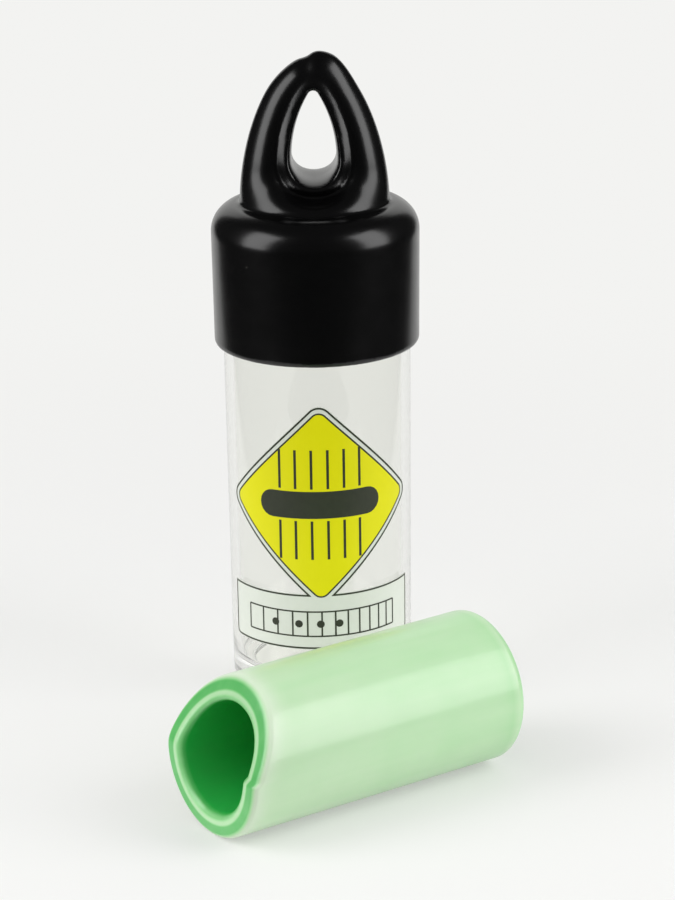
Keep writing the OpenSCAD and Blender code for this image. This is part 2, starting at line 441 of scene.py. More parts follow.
def glaze_on(kind, t, z, half):
    """How thick the glaze lies at share t of one run of the section."""
    if kind == "edge":
        return 0.12 + 0.58 * min(1.0, max(0.0, 2.2 * t - 0.9))
    if kind == "face":
        return 0.7 - 0.32 * min(1.0, max(0.0, 3.3 * t - 2.3))
    if kind == "lip":
        return 0.38 + 0.22 * min(1.0, max(0.0, 5 * t - 0.4)) + 0.32 * max(0.0, t - 0.45) / 0.55
    if kind in ("bore", "far_lip"):
        return 0.92
    if kind == "far_face":
        return 0.7
    if kind == "far_edge":
        return 0.62 - 0.32 * t
    from_near = (z + half) / SLIDE_LENGTH
    near_pale = 0.2 * math.exp(-((from_near * SLIDE_LENGTH) / NEAR_PALE_REACH) ** 2)
    far_deep = 0.1 * math.exp(-(((1 - from_near) * SLIDE_LENGTH) / FAR_DEEP_REACH) ** 2)
    return 0.29 + 0.05 * from_near - near_pale + far_deep


points, shares, glaze = slide_section()
print("the slide's section has", len(points), "points")

# %% [markdown]
# The section is turned with the lathe tree. The knuckle cut takes its full depth off the top of the
# tube, less and less towards the middle, and next to nothing off the lower half.

# %% Turn the slide
slide_mesh = run_tree(section_mesh(points, shares, glaze), LATHE, Steps_Around=STEPS_ROUND_SLIDE,
                      Cut_Slope=KNUCKLE_CUT / SLIDE_R, Cut_Softness=CUT_SOFTNESS,
                      Notch_Depth=NOTCH_DEPTH, Notch_Start=NOTCH_START, Notch_End=NOTCH_END,
                      Material=GLAZE)
print("slide's signed volume, cubic cm:", round(volume(slide_mesh) * 1e6, 2))

# %% [markdown]
# The lathe's axis is Z and its upper side is Y. One matrix lays the tube down: its axis goes along
# the bore's axis, and its upper side goes up.

# %% Lay the slide in its place
across = Vector((0, 0, 1)).cross(SLIDE_AXIS)
lay = Matrix((-across, Vector((0, 0, 1)), SLIDE_AXIS)).transposed().to_4x4()
lay.translation = (SLIDE_MIDDLE.x, SLIDE_MIDDLE.y, SLIDE_R)
slide_mesh.transform(lay)
if volume(slide_mesh) < 0:
    slide_mesh.flip_normals()
smooth(slide_mesh)
show("porcelain_slide", slide_mesh, GLAZE, "slide", "porcelain_glaze", "guitar_slide")

# %% [markdown]
# ## The clear plastic
# The vial is moulded in clear styrene. It is all surface: what is seen is the light that it bends
# and mirrors. A Principled shader with full transmission does that when the mesh is a closed wall
# with a true inside, so the look comes from the geometry. A faint ripple from the mould and a few
# rub marks keep its reflections from being perfect. A refracting surface stops the light that goes
# straight from a lamp, so for those rays the plastic is simply see-through: without that, the
# inside of the vial and the label's back would be dark.

# %% Make the clear plastic
def clear_material():
    """Clear plastic that bends light and lets a lamp's light straight through."""
    material, tree, shader = new_material("clear_styrene")
    shader.inputs["Base Color"].default_value = (0.94, 0.945, 0.92, 1)
    shader.inputs["Transmission Weight"].default_value = 1.0
    shader.inputs["IOR"].default_value = 1.5
    rubs = noise(tree, 5 * MM, 2.0, stretch=(1, 1, 0.25))
    tree.links.new(vary(tree, 0.0, 0.025, rubs), shader.inputs["Roughness"])
    ripple = noise(tree, 20 * MM, 1.0, stretch=(1, 1, 0.2))
    bump(tree, shader, ripple, 0.05 * MM, 0.4)
    through = add(tree, "ShaderNodeBsdfTransparent", {"Color": (0.93, 0.935, 0.92, 1)})
    path = add(tree, "ShaderNodeLightPath").outputs
    both = add(tree, "ShaderNodeMixShader", {0: path["Is Shadow Ray"], 1: shader.outputs[0],
                                             2: through.outputs[0]})
    tree.links.new(both.outputs[0], tree.nodes["Material Output"].inputs["Surface"])
    return material


CLEAR = clear_material()
print("plastic made:", CLEAR.name)

# %% [markdown]
# ## The vial
# Its section starts at the middle of the underside and goes out, round the foot, up the tapered
# wall, over the rounded lip and down the inside to the middle of the thick floor. The underside is
# recessed, so that the vial stands on a ring. That step and the round inside the floor's corner
# are what draw the curved lines that show near the foot.

# %% Turn the vial
FOOT_ROUND = 0.8 * MM
LIP_ROUND = VIAL_WALL / 2
FLOOR_ROUND = 1.6 * MM
RECESS = 1.0 * MM
RECESS_R = 13.2 * MM
STEPS_ROUND_VIAL = 192


def vial_radius(height):
    """The tapered wall's outer radius at a height."""
    return VIAL_FOOT_R + VIAL_DRAFT * height


def vial_section():
    """The vial's section, from the middle of its underside to the middle of its floor."""
    inner_foot_r = vial_radius(VIAL_FLOOR + FLOOR_ROUND) - VIAL_WALL
    lip_middle = (VIAL_MOUTH_R - LIP_ROUND, VIAL_HEIGHT - LIP_ROUND)
    step = RECESS / 2
    outline = [(0, RECESS)] + stretch_of((0, RECESS), (RECESS_R, RECESS), 8)
    outline += arc((RECESS_R, step), step, 90, 0, 4) + [(RECESS_R + step, 0)]
    outline += stretch_of((RECESS_R + step, 0), (VIAL_FOOT_R - FOOT_ROUND, 0), 4)
    outline += arc((VIAL_FOOT_R - FOOT_ROUND, FOOT_ROUND), FOOT_ROUND, -90, 0, 6)
    outline += stretch_of((VIAL_FOOT_R, FOOT_ROUND), (VIAL_MOUTH_R, VIAL_HEIGHT - LIP_ROUND), 40)
    outline += arc(lip_middle, LIP_ROUND, 0, 180, 10)
    inner = (inner_foot_r, VIAL_FLOOR + FLOOR_ROUND)
    outline += stretch_of((VIAL_MOUTH_R - VIAL_WALL, VIAL_HEIGHT - LIP_ROUND), inner, 40)
    outline += arc((inner_foot_r - FLOOR_ROUND, inner[1]), FLOOR_ROUND, 0, -90, 8)
    outline += stretch_of((inner_foot_r - FLOOR_ROUND, VIAL_FLOOR), (0, VIAL_FLOOR), 10)
    return outline + [(0, VIAL_FLOOR)]


vial_mesh = run_tree(section_mesh(vial_section()), LATHE, Steps_Around=STEPS_ROUND_VIAL, Cut_Slope=0.0,
                     Cut_Softness=0.0, Notch_Depth=0.0, Notch_Start=0.0, Notch_End=1.0,
                     Material=CLEAR)
if volume(vial_mesh) < 0:
    vial_mesh.flip_normals()
smooth(vial_mesh)
show("vial", vial_mesh, CLEAR, "case", "clear_plastic", "case_vial")

# %% [markdown]
# ## The cap's shape
# The cap is dip moulded: a former is dipped in liquid vinyl, which leaves a soft skin with no
# sharp edge anywhere. Its loop swells out of the crown in two round arms with an eye between them.
# A shape like that is hard to model face by face and easy to write as a field: a function that is
# negative inside the vinyl and positive outside. Fields can be joined with a soft blend, which is
# the very look of dipped vinyl. The values below are in millimetres, as the field is.

# %% Sizes of the cap
RIM_Z = cap_low[2] / MM
CROWN_Z = 94.4
TOP_Z = cap_high[2] / MM
CAP_DRAFT = 0.01
LOOP_JOINT = 0.7           # reach of the soft joint between the crown and the loop
SHOULDER_START = 4.4       # how far under the crown the skirt is widest
CAP_R = cap_high[0] / MM - CAP_DRAFT * (CROWN_Z - RIM_Z - SHOULDER_START)
CAVITY_R = VIAL_MOUTH_R / MM + 0.06
CEILING_Z = VIAL_HEIGHT / MM + 3.2
SHOULDER = 5.4
CAVITY_ROUND = 2.2
LOOP_R = 14.15
LOOP_HEIGHT = TOP_Z - CROWN_Z - 0.1
LOOP_DEPTH = 6.2
LOOP_TAPER = 0.45
LOOP_FLARE = 7.5
EYE_R = 4.2
EYE_HEIGHT = 17.0
EYE_Z = CROWN_Z + 4.9 + EYE_R
EYE_TIP = 0.9              # round at the top of the eye
EYE_RIM = 0.9              # from the eye's edge to the crest of its rim
EYE_RIM_OUT = 4.3          # from there to the rim's outer foot
ARM_START = 0.9            # how far behind the eye's edge the arm itself begins
ARM_LEAST = 3.0
ARM_STEEP = 2.4
RIM_STEEP = 2.0
LEAN = 1.2                 # how far the tip leans over
LEAN_FROM = 21
LEAN_OVER = 7
FOLD_FROM = 20.5           # where the fold at the tip begins
FOLD_WIDE = 1.3
FOLD_ASIDE = 2.7
FOLD_SLOPE = 0.32
print("cap radius at its rim", round(CAP_R, 2), "loop height", round(LOOP_HEIGHT, 2))

# %% [markdown]
# The first fields are the plain ones: two ways to combine shapes softly, and a round drum, which
# serves for the skirt and again for the hollow inside it.

# %% Fields for the skirt and its hollow
def soft_union(a, b, reach):
    """What is in a or in b, with the joint filled out over that reach."""
    h = np.clip(0.5 + 0.5 * (b - a) / reach, 0, 1)
    return b + (a - b) * h - reach * h * (1 - h)


def soft_cut(a, b, reach):
    """What is in a but not in b."""
    return -soft_union(-a, b, reach)


def round_drum(radius, z, drum_r, top, corner):
    """Distance to a drum that is open downwards, with a rounded upper edge."""
    out = radius - (drum_r - corner)
    up = z - (top - corner)
    outside = np.hypot(np.maximum(out, 0), np.maximum(up, 0))
    return outside + np.minimum(np.maximum(out, up), 0) - corner


print("the loop's joint is filled out by", -soft_union(0.0, 0.0, LOOP_JOINT), "mm")

# %% [markdown]
# The loop's field needs two lengths at each point: how far in it is from the loop's outline, and
# how far from the eye. Where they are equal, the point is in the middle of an arm, and the arm is
# thickest. Taken across, the arm comes out as an ellipse. A rolled rim runs round the eye on top of
# that: it is steep on the eye's side, so the hole's wall goes straight through, and falls slowly on
# the arm's side. The eye is a pointed arch over a half circle, with its point rounded.

# %% Lengths for the loop
OUTLINE_POWER = 1.82       # 2 would be an ellipse


def inside_outline(radius, t):
    """How far inside the loop's outline a point is. It is a peak, a bit slimmer than an ellipse."""
    power = OUTLINE_POWER
    across, up = np.maximum(radius, 1e-3) / LOOP_R, np.maximum(t, 1e-3) / LOOP_HEIGHT
    total = across ** power + up ** power
    level = total ** (1 / power)
    slope = total ** (1 / power - 1)
    steep = np.hypot(slope * across ** (power - 1) / LOOP_R, slope * up ** (power - 1) / LOOP_HEIGHT)
    return (1 - level) / steep


def outside_eye(x, z):
    """Distance from the eye's edge, negative inside the eye."""
    half = EYE_R - EYE_TIP
    tall = EYE_HEIGHT - EYE_R - EYE_TIP
    bow = (half ** 2 + tall ** 2) / (2 * half)
    x, t = np.abs(x), z - EYE_Z
    to_side = np.hypot(x + bow - half, t) - bow
    to_tip = np.hypot(x, t - tall)
    past_tip = t * (bow - half) > tall * (x + bow - half)
    upper = np.where(past_tip, to_tip, to_side)
    return np.where(t > 0, upper, np.hypot(x, t) - half) - EYE_TIP


print("the eye's middle is", round(float(-outside_eye(0.0, EYE_Z)), 2), "mm from its edge")

# %% [markdown]
# The arms, the rim and the crease at the tip are joined into the loop, and the loop is joined softly
# to the crown of the drum. The hollow is cut out last.

# %% Join the fields into the cap
def tip_fold(x, t):
    """The slanting crease at the loop's tip: 1 in its middle and 0 away from it."""
    line = x + FOLD_ASIDE - FOLD_SLOPE * (LOOP_HEIGHT - t)
    return np.exp(-(line / FOLD_WIDE) ** 2) * np.clip((t - FOLD_FROM) / 2, 0, 1)


def eye_rim(y, eye, plain, depth):
    """The rolled rim round the eye."""
    rim_depth = 1.2 * np.minimum(depth, plain + 1.0)
    from_crest = eye - EYE_RIM
    width = np.where(from_crest < 0, EYE_RIM, EYE_RIM_OUT)
    power = 2 + 2 * np.clip(-from_crest / EYE_RIM, 0, 1)
    fall = np.where(from_crest < 0, 2.0, 1.3)
    across = (np.abs(y) / rim_depth) ** power
    return RIM_STEEP * (across + (np.abs(from_crest) / width) ** fall - 1)


def loop_field(x, y, z):
    """The loop: two arms round the eye, its rim, and the leaning, folded tip."""
    t = z - CROWN_Z
    x = x - LEAN * np.clip((t - LEAN_FROM) / LEAN_OVER, 0, 1) ** 2
    plain = LOOP_DEPTH * (1 - LOOP_TAPER * np.clip(t / LOOP_HEIGHT, 0, 1))
    flare = np.clip(1 - t / LOOP_FLARE, 0, 1) ** 2.5
    depth = plain + (LOOP_R - plain) * flare
    fold = tip_fold(x, t)
    outer = inside_outline(np.hypot(x, y), t) - 0.22 * fold
    eye = outside_eye(x, z)
    behind = eye - ARM_START
    wide = np.maximum(outer + behind, ARM_LEAST)
    swell = 4 * outer * behind / wide ** 2
    swell = np.where(np.minimum(outer, behind) < 0, -np.abs(swell), swell)
    arm = ((y / depth) ** 2 - swell) * ARM_STEEP + 0.3 * fold
    return soft_union(arm, np.maximum(eye_rim(y, eye, plain, depth), -outer), 0.4)


def cap_field(x, y, z):
    """Negative inside the vinyl, in millimetres."""
    radius = np.hypot(x, y)
    skirt_r = CAP_R + CAP_DRAFT * (z - RIM_Z)
    drum = round_drum(radius, z, skirt_r, CROWN_Z, SHOULDER)
    loop = np.maximum(loop_field(x, y, z), CROWN_Z - 1.5 - z)
    body = soft_union(drum, loop, LOOP_JOINT)
    body = soft_cut(body, z - RIM_Z, 0.9)
    hollow = round_drum(radius, z, CAVITY_R, CEILING_Z, CAVITY_ROUND)
    return soft_cut(body, hollow, 0.5)


print("field on the axis above the eye:", round(float(cap_field(np.array(0.0), 0.0, 119.0)), 2))

# %% [markdown]
# To turn the field into a mesh, space is cut into small cubes. Each cube that the surface passes
# through gets one point, and the points of neighbouring cubes are joined into faces. The points
# are then slid onto the surface exactly, by stepping down the field's slope, and evened out, so
# that the highlights run clean. A metaball or a voxel remesh would give the same skin with
# visible steps.

# %% Mesh a field
def net_of(field, low, high, step):
    """Points and four-sided faces round a field's zero surface."""
    axes = [np.arange(a, b + step, step) for a, b in zip(low, high)]
    grid = np.stack(np.meshgrid(*axes, indexing="ij"), -1)
    value = field(grid[..., 0], grid[..., 1], grid[..., 2])
    cells = np.array(value.shape) - 1
    total, count = np.zeros((*cells, 3)), np.zeros(cells)
    corners = [(i, j, k) for i in (0, 1) for j in (0, 1) for k in (0, 1)]
    for a in corners:
        for axis in range(3):
            if a[axis]:
                continue
            b = tuple(v + (n == axis) for n, v in enumerate(a))
            va, vb = (value[tuple(slice(o, o + c) for o, c in zip(p, cells))] for p in (a, b))
            crossed = (va < 0) != (vb < 0)
            share = np.where(crossed, va / np.where(crossed, va - vb, 1), 0)
            for n in range(3):
                total[..., n] += crossed * (a[n] + (share if n == axis else 0))
            count += crossed
    active = np.argwhere(count > 0)
    number = -np.ones(cells, int)
    number[tuple(active.T)] = np.arange(len(active))
    middle = total[tuple(active.T)] / count[tuple(active.T)][:, None]
    return np.array(low) + (active + middle) * step, net_faces(value, number)


def net_faces(value, number):
    """One face round each grid edge that the surface crosses."""
    faces = []
    for axis in range(3):
        u, v = (axis + 1) % 3, (axis + 2) % 3
        here = [slice(1, -1)] * 3
        there = [slice(1, -1)] * 3
        here[axis], there[axis] = slice(0, -1), slice(1, None)
        a, b = value[tuple(here)] < 0, value[tuple(there)] < 0
        for inside, spots in ((True, np.argwhere(a & ~b)), (False, np.argwhere(~a & b))):
            spots = spots + 1
            spots[:, axis] -= 1
            ring = []
            for du, dv in ((-1, -1), (0, -1), (0, 0), (-1, 0)):
                cell = spots.copy()
                cell[:, u] += du
                cell[:, v] += dv
                ring.append(number[tuple(cell.T)])
            ring = np.stack(ring, 1)
            faces.append(ring if inside else ring[:, ::-1])
    return np.concatenate(faces)


print("the cap is", round(TOP_Z - RIM_Z, 1), "mm tall")

# %% [markdown]
# A raw net is slightly stepped. Settling and evening out make it smooth and exact.

# %% Settle the points and even them out
SETTLE_STEPS = 3


def settle(field, points):
    """Points slid down the field's slope until they lie on its surface."""
    tiny = 0.01
    for _ in range(SETTLE_STEPS):
        x, y, z = points.T
        value = field(x, y, z)
        slope = np.stack([
            (field(x + tiny, y, z) - field(x - tiny, y, z)),
            (field(x, y + tiny, z) - field(x, y - tiny, z)),
            (field(x, y, z + tiny) - field(x, y, z - tiny)),
        ], 1) / (2 * tiny)
        step = value[:, None] * slope / np.maximum((slope ** 2).sum(1), 0.05)[:, None]
        length = np.linalg.norm(step, axis=1, keepdims=True)
        points = points - step * np.minimum(1, 0.25 / np.maximum(length, 1e-9))
    return points


def relax(points, faces, rounds):
    """Points moved halfway to the middle of the faces round them."""
    for _ in range(rounds):
        middles = points[faces].mean(1)
        total, count = np.zeros_like(points), np.zeros(len(points))
        for side in range(4):
            np.add.at(total, faces[:, side], middles)
            np.add.at(count, faces[:, side], 1)
        points = points + 0.5 * (total / count[:, None] - points)
    return points


print("each point takes", SETTLE_STEPS, "steps to the surface")

# %% [markdown]
# Evening out pulls the points a little off the surface, so the points are evened out and settled in
# turns.

# %% Make the cap's mesh
CAP_STEP = 0.5
net_low = (-CAP_R - 1.3, -CAP_R - 1.3, RIM_Z - 1.1)
net_high = (CAP_R + 1.3, CAP_R + 1.3, TOP_Z + 1.1)
net_points, net_quads = net_of(cap_field, net_low, net_high, CAP_STEP)
for _ in range(2):
    net_points = settle(cap_field, relax(net_points, net_quads, 2))
cap_mesh = bpy.data.meshes.new("cap")
cap_mesh.from_pydata((net_points * MM).tolist(), [], net_quads.tolist())
if volume(cap_mesh) < 0:
    cap_mesh.flip_normals()
smooth(cap_mesh)
print("cap's volume, cubic cm:", round(volume(cap_mesh) * 1e6, 2))

# %% [markdown]
# ## Black soft vinyl
# Soft vinyl is nearly black all through and has a satin skin: it mirrors a lamp as a broad, soft
# glow and goes pale only at a glancing angle. Handling leaves areas that are a little smoother or
# rougher, the skin has a very fine pebble, and it draws a few specks of dust.

# %% Make the vinyl
def vinyl_material():
    """Black vinyl with a satin skin."""
    material, tree, shader = new_material("black_vinyl")
    tone = noise(tree, 11 * MM, 3.0)
    dust = specks(tree, 4.2 * MM, 0.13 * MM)
    base = blend_colour(tree, tone, (0.001, 0.001, 0.0011, 1), (0.0018, 0.0018, 0.002, 1))
    shader.inputs["Specular IOR Level"].default_value = 0.5
    tree.links.new(blend_colour(tree, dust, base, picked(120, 120, 112)), shader.inputs["Base Color"])
    handled = noise(tree, 4 * MM, 5.0)
    tree.links.new(vary(tree, 0.19, 0.27, handled), shader.inputs["Roughness"])
    pebble = noise(tree, 0.35 * MM, 2.0)
    swell = noise(tree, 8 * MM, 1.0)
    relief = sum_up(tree, "ADD", sum_up(tree, "MULTIPLY", pebble, 0.12), swell)
    bump(tree, shader, relief, 0.05 * MM, 0.8)
    return material


VINYL = vinyl_material()
show("soft_cap", cap_mesh, VINYL, "cap", "black_soft_vinyl", "case_cap")

# %% [markdown]
# ## The label, drawn flat
# A label is printed flat, cut out, and wrapped on. It is made the same way here: each ink area is
# an outline on a flat sheet, measured along the vial's surface, and a node tree then bends the
# sheet round the vial. The label is a square standing on its corner over a strip. What was printed
# on it is replaced with a plain drawing: strings under a bar, and a fingerboard.
#
# A flat face can't bend, so each area is first sliced into narrow upright bands.

# %% Outlines on the flat sheet
STRIP_LOW = label_low[2]
STRIP_TOP = STRIP_LOW + 11.3 * MM
STRIP_HALF = 20.6 * MM
SQUARE_Z = 39.6 * MM
SQUARE_REACH = 20.8 * MM
SQUARE_ROUND = 2.6 * MM
STRIP_ROUND = 1.2 * MM


def mirrored(right):
    """A closed outline from its right half, which runs from the top to the bottom."""
    off_middle = [p for p in right if abs(p[0]) > 1e-7]
    return list(right) + [(-x, z) for x, z in reversed(off_middle)]


def square_outline(reach, corner):
    """A square standing on its corner, with rounded corners."""
    inset = corner * math.sqrt(2)
    middles = [(0, reach - inset), (reach - inset, 0), (0, inset - reach), (inset - reach, 0)]
    outline = []
    for number, (x, z) in enumerate(middles):
        start = 135 - 90 * number
        outline += arc((x, SQUARE_Z + z), corner, start, start - 90, 8)
    return outline


def label_outline(inset=0.0):
    """The whole label's edge, or a line that runs inside it."""
    reach = SQUARE_REACH - inset * math.sqrt(2)
    corner = SQUARE_ROUND - inset
    inner = corner * math.sqrt(2)
    half = STRIP_HALF - inset
    low = STRIP_LOW + inset
    top = STRIP_TOP - inset
    strip_corner = STRIP_ROUND - inset
    right = arc((0, SQUARE_Z + reach - inner), corner, 90, 45, 4)
    right += arc((reach - inner, SQUARE_Z), corner, 45, -45, 8)
    right += [(reach - (SQUARE_Z - top), top), (half, top)]
    right += arc((half - strip_corner, low + strip_corner), strip_corner, 0, -90, 6)
    return mirrored(right)


print("label outline has", len(label_outline()), "points")

# %% [markdown]
# The sheet is filled, cut into bands by upright planes, and cut once more into triangles. The bands
# are narrow enough that the wrapped film looks round.

# %% Turn an outline into a sliced sheet
SLICE = 0.7 * MM


def sheet_from(build, name):
    """A flat sheet in the XZ plane, filled by build and sliced into upright bands."""
    flat = bmesh.new()
    build(flat)
    flat.normal_update()
    bmesh.ops.triangulate(flat, faces=flat.faces[:])
    reach = max(abs(v.co.x) for v in flat.verts)
    for number in range(-int(reach / SLICE), int(reach / SLICE) + 1):
        bmesh.ops.bisect_plane(flat, geom=flat.verts[:] + flat.edges[:] + flat.faces[:], dist=1e-7,
                               plane_co=(number * SLICE, 0, 0), plane_no=(1, 0, 0))
    bmesh.ops.triangulate(flat, faces=flat.faces[:])
    bmesh.ops.remove_doubles(flat, verts=flat.verts[:], dist=2e-6)
    flat.normal_update()
    for face in flat.faces:
        if face.normal.y > 0:
            face.normal_flip()
    mesh = bpy.data.meshes.new(name)
    flat.to_mesh(mesh)
    flat.free()
    return mesh


def area(flat, outline):
    """Fills one outline."""
    flat.faces.new([flat.verts.new((x, 0, z)) for x, z in outline])


def ring(flat, outer, inner):
    """Fills the strip between two outlines that have as many points."""
    rows = [[flat.verts.new((x, 0, z)) for x, z in outline] for outline in (outer, inner)]
    count = len(outer)
    for i in range(count):
        j = (i + 1) % count
        flat.faces.new((rows[0][i], rows[0][j], rows[1][j], rows[1][i]))


print("bands across the label:", round(2 * STRIP_HALF / SLICE))

# %% [markdown]
# ## Wrapping on in Geometry Nodes
# The tree reads X as the way along the vial's surface, turns it into an angle, and puts each point
# at the tapered wall's radius plus a small lift. The wrapped sheet is then given its thickness:
# its faces are raised, and a flipped copy of the sheet closes the back.

# %% Build the wrapping tree
def wrap_tree():
    """The node tree that bends a flat sheet round the vial and gives it thickness."""
    tree = bpy.data.node_groups.new("wrap_on_vial", "GeometryNodeTree")
    face = tree.interface
    face.new_socket(name="Geometry", in_out="OUTPUT", socket_type="NodeSocketGeometry")
    face.new_socket(name="Sheet", in_out="INPUT", socket_type="NodeSocketGeometry")
    for name in ("Foot Radius", "Draft", "Lift", "Thickness", "Tilt"):
        face.new_socket(name=name, in_out="INPUT", socket_type="NodeSocketFloat")
    face.new_socket(name="Material", in_out="INPUT", socket_type="NodeSocketMaterial")
    given = add(tree, "NodeGroupInput").outputs
    result = add(tree, "NodeGroupOutput")
    at = add(tree, "ShaderNodeSeparateXYZ", {0: add(tree, "GeometryNodeInputPosition").outputs[0]})
    raised = sum_up(tree, "MULTIPLY", at.outputs["X"], given["Tilt"])
    height = sum_up(tree, "ADD", at.outputs["Z"], raised)
    grown = sum_up(tree, "MULTIPLY", height, given["Draft"])
    wall = sum_up(tree, "ADD", given["Foot Radius"], grown)
    radius = sum_up(tree, "ADD", wall, given["Lift"])
    angle = sum_up(tree, "DIVIDE", at.outputs["X"], wall)
    side = sum_up(tree, "MULTIPLY", radius, sum_up(tree, "SINE", angle))
    front = sum_up(tree, "MULTIPLY", sum_up(tree, "MULTIPLY", radius, -1.0), sum_up(tree, "COSINE", angle))
    place = add(tree, "ShaderNodeCombineXYZ", {"X": side, "Y": front, "Z": height})
    bent = add(tree, "GeometryNodeSetPosition", {"Geometry": given["Sheet"], "Position": place.outputs[0]})
    raised_faces = add(tree, "GeometryNodeExtrudeMesh",
                       {"Mesh": bent.outputs[0], "Offset Scale": given["Thickness"], "Individual": False})
    back = add(tree, "GeometryNodeFlipFaces", {"Mesh": bent.outputs[0]})
    both = add(tree, "GeometryNodeJoinGeometry")
    tree.links.new(raised_faces.outputs["Mesh"], both.inputs[0])
    tree.links.new(back.outputs[0], both.inputs[0])
    closed = add(tree, "GeometryNodeMergeByDistance", {"Geometry": both.outputs[0], "Distance": 1e-7})
    real = add(tree, "GeometryNodeRealizeInstances", {"Geometry": closed.outputs[0]})
    painted = add(tree, "GeometryNodeSetMaterial",
                  {"Geometry": real.outputs[0], "Material": given["Material"]})
    tree.links.new(painted.outputs[0], result.inputs[0])
    return tree


WRAP = wrap_tree()
LABEL_TILT = 0.012


def wrapped(sheet, lift, thickness, material):
    """A flat sheet wrapped on the vial."""
    return run_tree(sheet, WRAP, Foot_Radius=VIAL_FOOT_R, Draft=VIAL_DRAFT, Lift=lift,
                    Thickness=thickness, Tilt=LABEL_TILT, Material=material)


print("wrap tree has", len(WRAP.nodes), "nodes")

# %% [markdown]
# ## Printed film
# The film is a pale, slightly grey plastic with a satin face. Ink on it is a thin, even skin: the
# yellow is flat and strong, with a trace of mottle from the press, and the line colour is a dark
# olive black.

# %% Make the film and the inks
PRESS_MOTTLE = 1.2 * MM


def ink_material(name, colour, other, rough):
    """A printed skin that drifts a little between two colours."""
    material, tree, shader = new_material(name)
    press = noise(tree, PRESS_MOTTLE, 4.0)
    broad = noise(tree, 12 * MM, 2.0)
    tone = sum_up(tree, "MULTIPLY", sum_up(tree, "ADD", press, broad), 0.5)
    tree.links.new(blend_colour(tree, tone, picked(*colour), picked(*other)), shader.inputs["Base Color"])
    tree.links.new(vary(tree, rough - 0.06, rough + 0.06, broad), shader.inputs["Roughness"])
    shader.inputs["Specular IOR Level"].default_value = 0.3
    bump(tree, shader, press, 0.01 * MM, 0.5)
    return material


FILM = ink_material("label_film", (214, 219, 208), (226, 230, 222), 0.4)
YELLOW = ink_material("yellow_ink", (226, 221, 0), (232, 228, 6), 0.38)
INK = ink_material("line_ink", (44, 48, 38), (60, 64, 50), 0.42)
print("film and inks:", FILM.name, YELLOW.name, INK.name)

# %% [markdown]
# ## The film and the yellow square
# The film goes on first, and the yellow is a skin of ink just above it. Each layer is lifted a hair
# off the last one, so that no two faces share a place.

# %% Wrap the film and the yellow square
KEYLINE = 0.34 * MM
FILM_THICK = 0.08 * MM
INK_THICK = 0.012 * MM
FILM_LIFT = 0.012 * MM
PRINT_LIFT = FILM_LIFT + FILM_THICK + 0.002 * MM
YELLOW_REACH = 18.9 * MM
YELLOW_ROUND = 1.5 * MM

film_mesh = wrapped(sheet_from(lambda flat: area(flat, label_outline()), "film"),
                    FILM_LIFT, FILM_THICK, FILM)
show("label_film", film_mesh, FILM, "case", "printed_film", "case_label")
yellow_sheet = sheet_from(lambda flat: area(flat, square_outline(YELLOW_REACH, YELLOW_ROUND)), "yellow")
yellow_mesh = wrapped(yellow_sheet, PRINT_LIFT, INK_THICK, YELLOW)
show("yellow_square", yellow_mesh, YELLOW, "case", "printed_film")

# %% [markdown]
# ## Repeated marks in Geometry Nodes
# Strings are one bar repeated at an even pitch. Frets are one bar repeated by the rule that every
# fingerboard follows: each fret leaves the same share of the string, a twelfth root of two, so
# the marks crowd together towards one end. One tree does both, with a ratio of 1 for even marks.

# %% Build the tree for rows of bars
def row_tree():
    """The node tree that repeats a bar, evenly or closer and closer."""
    tree = bpy.data.node_groups.new("row_of_bars", "GeometryNodeTree")
    face = tree.interface
    face.new_socket(name="Geometry", in_out="OUTPUT", socket_type="NodeSocketGeometry")
    face.new_socket(name="Bar", in_out="INPUT", socket_type="NodeSocketGeometry")
    face.new_socket(name="Count", in_out="INPUT", socket_type="NodeSocketInt")
    for name in ("Start", "Pitch", "Ratio", "Height"):
        face.new_socket(name=name, in_out="INPUT", socket_type="NodeSocketFloat")
    face.new_socket(name="Material", in_out="INPUT", socket_type="NodeSocketMaterial")
    given = add(tree, "NodeGroupInput").outputs
    result = add(tree, "NodeGroupOutput")
    line = add(tree, "GeometryNodeMeshLine", {"Count": given["Count"]})
    number = add(tree, "GeometryNodeInputIndex").outputs[0]
    even = sum_up(tree, "MULTIPLY", number, given["Pitch"])
    shrunk = sum_up(tree, "SUBTRACT", 1.0, sum_up(tree, "POWER", given["Ratio"], number))
    gap = sum_up(tree, "MAXIMUM", sum_up(tree, "SUBTRACT", 1.0, given["Ratio"]), 1e-6)
    fretted = sum_up(tree, "MULTIPLY", sum_up(tree, "DIVIDE", shrunk, gap), given["Pitch"])
    is_even = sum_up(tree, "GREATER_THAN", given["Ratio"], 0.9999)
    along = add(tree, "ShaderNodeMix", {0: is_even, 2: fretted, 3: even}).outputs[0]
    place = add(tree, "ShaderNodeCombineXYZ",
                {"X": sum_up(tree, "ADD", along, given["Start"]), "Z": given["Height"]})
    spots = add(tree, "GeometryNodeSetPosition",
                {"Geometry": line.outputs[0], "Position": place.outputs[0]})
    bars = add(tree, "GeometryNodeInstanceOnPoints",
               {"Points": spots.outputs[0], "Instance": given["Bar"]})
    real = add(tree, "GeometryNodeRealizeInstances", {"Geometry": bars.outputs[0]})
    painted = add(tree, "GeometryNodeSetMaterial",
                  {"Geometry": real.outputs[0], "Material": given["Material"]})
    tree.links.new(painted.outputs[0], result.inputs[0])
    return tree


ROW = row_tree()


def bar(flat, wide, tall, middle=(0.0, 0.0)):
    """One upright bar."""
    x, z = middle
    area(flat, [(x + a * wide / 2, z + b * tall / 2) for a, b in ((-1, -1), (-1, 1), (1, 1), (1, -1))])


